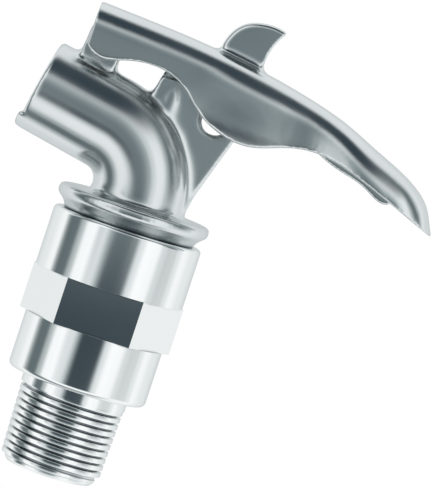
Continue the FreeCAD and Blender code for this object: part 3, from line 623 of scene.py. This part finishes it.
# The studio: a white tent whose openings show in the plating as dark bands
studio = {
    "tentLevel": 1.25,      # strength of the tent's light on the tap
    "cameraWhite": 1.0,     # strength of the white that the camera sees behind it
    "floorHeight": -200.0,  # mm
    "floorReach": 1500.0,   # mm
    "floorColour": "#f3f3f1",
    "floorRoughness": 0.9,
    # the tent's colour by the angle in degrees from the direction of the photo's camera
    "tent": [
        (0, "#6b7679"), (10, "#7a8588"), (20, "#a0a9ab"), (30, "#d8dcdd"), (41, "#f8f9f9"), (57, "#f4f5f5"),
        (67, "#b0b7b8"), (77, "#616c6f"), (87, "#687376"), (96, "#c4c9ca"), (106, "#f2f3f3"),
        (130, "#dfe2e2"), (180, "#b9bebf")],
    # lamps and dark things in the tent: which way they lie, half their width and half their soft edge in
    # degrees, and their colour
    "patches": [
        ((-0.52, 0.10, 0.85), 30.0, 22.0, "#f0f2f2"),  # lamp at the lower right
        ((0.94, -0.34, 0.10), 28.0, 11.0, "#eceeee"),  # lamp over the lever
        ((0.88, 0.48, 0.08), 26.0, 11.0, "#36424a"),   # hood over the camera
        ((0.0, 0.0, -1.0), 8.0, 7.0, "#5a6568"),       # stand at the left
        ((0.0, 0.80, -0.60), 4.0, 6.0, "#a6adaf"),     # pole at the left
    ],
    # dark card that stands before the lower body and shows in its flats and its turned sides
    "card": {
        "low": (-90.0, 300.0, -120.0),  # mm
        "high": (50.0, 300.0, 155.0),   # mm
        "fade": 62.0,                   # mm over which it thins out towards its edges
        "colour": "#414d54",
    },
}


def cameraDirection(elevation):  # from the tap towards the camera, which looks down by the elevation
    return Vector((math.sin(elevation), math.cos(elevation), 0.0))


# The angle in degrees between a ray and one direction
def angleFrom(tree, ray, direction):
    dot = addNode(tree, "ShaderNodeVectorMath", {0: ray, 1: tuple(Vector(direction).normalized())},
                  operation="DOT_PRODUCT")
    turn = addNode(tree, "ShaderNodeMath", {0: dot.outputs["Value"]}, operation="ARCCOSINE")
    return addNode(tree, "ShaderNodeMath", {0: turn.outputs[0]}, operation="DEGREES").outputs[0]


# A soft-edged round patch of one colour, laid over the tent
def withPatch(tree, ray, under, patch):
    towards, half, soft, colour = patch
    away = angleFrom(tree, ray, towards)
    cover = addNode(tree, "ShaderNodeMapRange", {
        "Value": away, "From Min": half - soft, "From Max": half + soft, "To Min": 1.0, "To Max": 0.0},
        interpolation_type="SMOOTHSTEP")
    mix = addNode(tree, "ShaderNodeMix", {0: cover.outputs[0], 6: under, 7: linear(colour)}, data_type="RGBA")
    return mix.outputs[2]


def makeTent(cameraSide):
    world = bpy.data.worlds.new("whiteTent")
    bpy.context.scene.world = world
    world.use_nodes = True
    tree = world.node_tree
    tree.nodes.clear()
    ray = addNode(tree, "ShaderNodeTexCoord").outputs["Generated"]
    away = angleFrom(tree, ray, cameraSide)
    share = addNode(tree, "ShaderNodeMath", {0: away, 1: 180.0}, operation="DIVIDE")
    tent = addNode(tree, "ShaderNodeValToRGB", {"Fac": share.outputs[0]})
    tent.color_ramp.interpolation = "EASE"
    setRamp(tent, [(angle / 180, colour) for angle, colour in studio["tent"]])
    colour = tent.outputs[0]
    for patch in studio["patches"]:
        colour = withPatch(tree, ray, colour, patch)
    seen = addNode(tree, "ShaderNodeBackground", {"Color": colour, "Strength": studio["tentLevel"]})
    # the camera itself sees plain white behind the tap
    plain = addNode(tree, "ShaderNodeBackground", {
        "Color": (1.0, 1.0, 1.0, 1.0), "Strength": studio["cameraWhite"]})
    path = addNode(tree, "ShaderNodeLightPath")
    choice = addNode(tree, "ShaderNodeMixShader", {
        0: path.outputs["Is Camera Ray"], 1: seen.outputs[0], 2: plain.outputs[0]})
    addNode(tree, "ShaderNodeOutputWorld", {"Surface": choice.outputs[0]})


def makeFloor():
    reach = studio["floorReach"] * mm
    height = studio["floorHeight"] * mm
    middle = (Vector(cadBox[0]) + Vector(cadBox[1])) / 2
    mesh = bpy.data.meshes.new("floor")
    corners = [(middle.x + x * reach, y * reach, height) for x, y in ((-1, -1), (1, -1), (1, 1), (-1, 1))]
    mesh.from_pydata(corners, [], [(0, 1, 2, 3)])
    floor = bpy.data.objects.new("floor", mesh)
    bpy.context.scene.collection.objects.link(floor)
    material, tree = newMaterial("palePaper")
    shader = addNode(tree, "ShaderNodeBsdfPrincipled", {
        "Base Color": linear(studio["floorColour"]), "Roughness": studio["floorRoughness"]})
    finishMaterial(tree, shader)
    mesh.materials.append(material)
    floor.visible_glossy = False  # the plating shows the tent all round, as the photo's does


def makeCard():
    look = studio["card"]
    low, high = Vector(look["low"]) * mm, Vector(look["high"]) * mm
    mesh = bpy.data.meshes.new("darkCard")
    mesh.from_pydata([low, (high.x, low.y, low.z), high, (low.x, low.y, high.z)], [], [(0, 1, 2, 3)])
    card = bpy.data.objects.new("darkCard", mesh)
    bpy.context.scene.collection.objects.link(card)
    material, tree = newMaterial("darkCard")
    # the card thins out towards its edges, so that its image has soft ones
    place = addNode(tree, "ShaderNodeSeparateXYZ", {0: addNode(tree, "ShaderNodeTexCoord").outputs["Object"]})
    fade = look["fade"] * mm
    cover = 1.0
    for axis in (0, 2):
        for edge, full in ((low[axis], low[axis] + fade), (high[axis], high[axis] - fade)):
            share = addNode(tree, "ShaderNodeMapRange", {
                "Value": place.outputs[axis], "From Min": edge, "From Max": full,
                "To Min": 0.0, "To Max": 1.0}, interpolation_type="SMOOTHSTEP").outputs[0]
            cover = addNode(tree, "ShaderNodeMath", {0: cover, 1: share}, operation="MULTIPLY").outputs[0]
    clear = addNode(tree, "ShaderNodeBsdfTransparent").outputs[0]
    dark = addNode(tree, "ShaderNodeEmission", {"Color": linear(look["colour"])}).outputs[0]
    finishMaterial(tree, addNode(tree, "ShaderNodeMixShader", {0: cover, 1: clear, 2: dark}))
    mesh.materials.append(material)
    card.visible_camera = False
    card.visible_shadow = False


# The camera: a long lens, square to the tap's side, with the picture turned as the photo is
view = {
    "elevation": 3.5,                    # degrees that the camera looks down on the lever's side
    "target": (44.78, 0.0, 22.27),       # mm, at the picture's middle
    "upright": (0.3140, 0.9494),         # how the picture's right and up share the inlet's axis
    "pixelsPerMm": 4.0,
    "pictureHeight": 488,
    "lens": 300.0,
    "sensor": 36.0,
    "nearest": 0.01,                     # m
    "farthest": 20.0,                    # m
}


def makeCamera():
    towards = cameraDirection(math.radians(view["elevation"]))
    up = Vector((towards.y, -towards.x, 0.0))
    level = Vector((0.0, 0.0, 1.0))
    lean, stand = view["upright"]
    right = level * stand + up * lean
    top = up * stand - level * lean
    span = view["pictureHeight"] / view["pixelsPerMm"] * mm
    distance = span * view["lens"] / view["sensor"]
    data = bpy.data.cameras.new("camera")
    data.lens = view["lens"]
    data.sensor_width = view["sensor"]
    data.clip_start = view["nearest"]
    data.clip_end = view["farthest"]
    camera = bpy.data.objects.new("camera", data)
    bpy.context.scene.collection.objects.link(camera)
    turn = Matrix((right, top, towards)).transposed().to_4x4()
    place = Vector(view["target"]) * mm + towards * distance
    camera.matrix_world = Matrix.Translation(place) @ turn
    bpy.context.scene.camera = camera
    return towards


cameraSide = makeCamera()
makeTent(cameraSide)
makeFloor()
makeCard()
bpy.context.scene.view_settings.view_transform = "Standard"
print("drum tap: studio and camera set")
